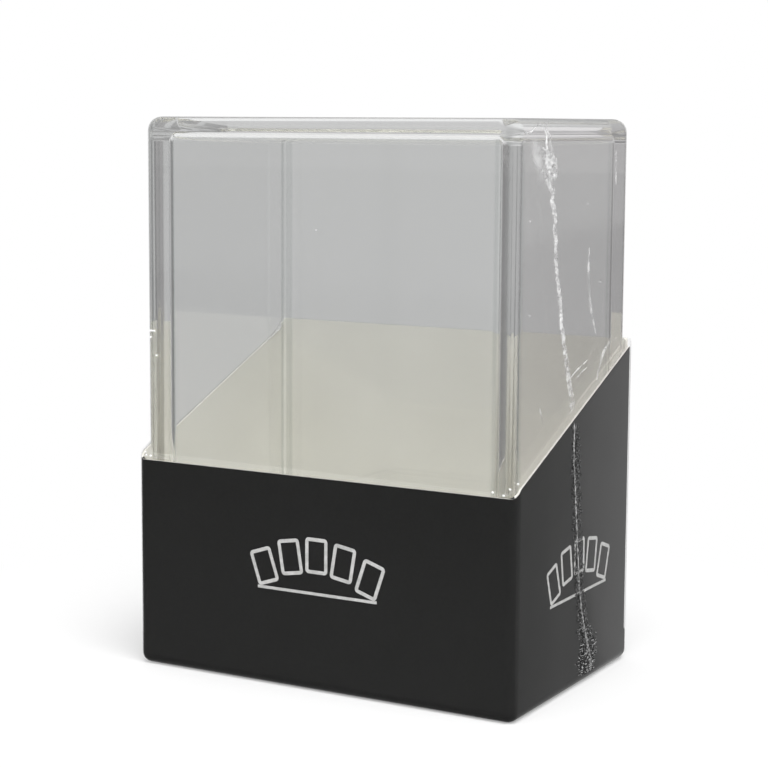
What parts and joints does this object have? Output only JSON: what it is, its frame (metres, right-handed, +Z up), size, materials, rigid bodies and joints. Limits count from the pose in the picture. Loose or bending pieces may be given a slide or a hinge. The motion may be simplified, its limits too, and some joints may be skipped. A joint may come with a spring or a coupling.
{
  "type": "trading card storage box",
  "caption": "Clear two-piece plastic case for trading cards, standing in a black folded carton sleeve with a low front and sloping sides, sealed in shrink film.",
  "frame": {"origin": "on the underside, at the centre of the box", "axes": "+Z up, -Y towards the low front panel, +X to the right side as seen from the front"},
  "size_m": [0.0891, 0.0574, 0.1157],
  "materials": {
    "black_board": "black matt coated board, cream inside",
    "clear_plastic": "clear polished polystyrene",
    "shrink_film": "clear glossy film"
  },
  "bodies": {
    "sleeve": {"carton_front_panel": "black_board", "carton_left_panel": "black_board", "carton_right_panel": "black_board", "carton_back_panel": "black_board", "carton_glue_flap": "black_board", "carton_front_flap": "black_board", "carton_back_flap": "black_board", "carton_left_dust_flap": "black_board", "carton_right_dust_flap": "black_board", "film_sleeve_skin": "shrink_film", "film_bottom": "shrink_film", "film_seam_lower": "shrink_film"},
    "base": {"case_base": "clear_plastic"},
    "cover": {"case_cover": "clear_plastic", "film_cover_skin": "shrink_film", "film_seam_upper": "shrink_film"}
  },
  "joints": [
    {"name": "case_lift", "type": "slide", "parent": "sleeve", "child": "base", "axis": [0, 0, 1], "range_m": [0, 0.075]},
    {"name": "cover_lift", "type": "slide", "parent": "base", "child": "cover", "axis": [0, 0, 1], "range_m": [0, 0.09]}
  ]
}
